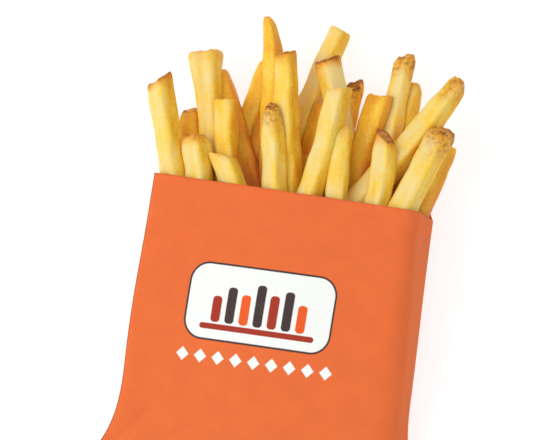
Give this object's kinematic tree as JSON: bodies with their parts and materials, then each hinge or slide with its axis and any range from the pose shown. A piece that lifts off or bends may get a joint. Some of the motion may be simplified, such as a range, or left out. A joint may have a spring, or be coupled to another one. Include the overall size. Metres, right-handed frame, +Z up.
{
  "type": "french fries in a paper pouch",
  "caption": "Straight-cut french fries packed upright in a flat printed paper pouch, lying on its back with the fries reaching out of the open mouth.",
  "frame": {"origin": "on the flat stretch of the pouch's back panel that rests on the table, on the pouch's centre line, 40 mm below the cut edge of the front panel", "axes": "+Y along the pouch from its folded bottom to its mouth and the fries, +X across the pouch to the right as its printed front is seen, +Z up out of the printed front panel"},
  "size_m": [0.117, 0.1637, 0.032],
  "materials": {
    "paper": "matte",
    "potato": "satin"
  },
  "bodies": {
    "root": {"pouch": "paper", "fries": "potato"}
  },
  "joints": []
}
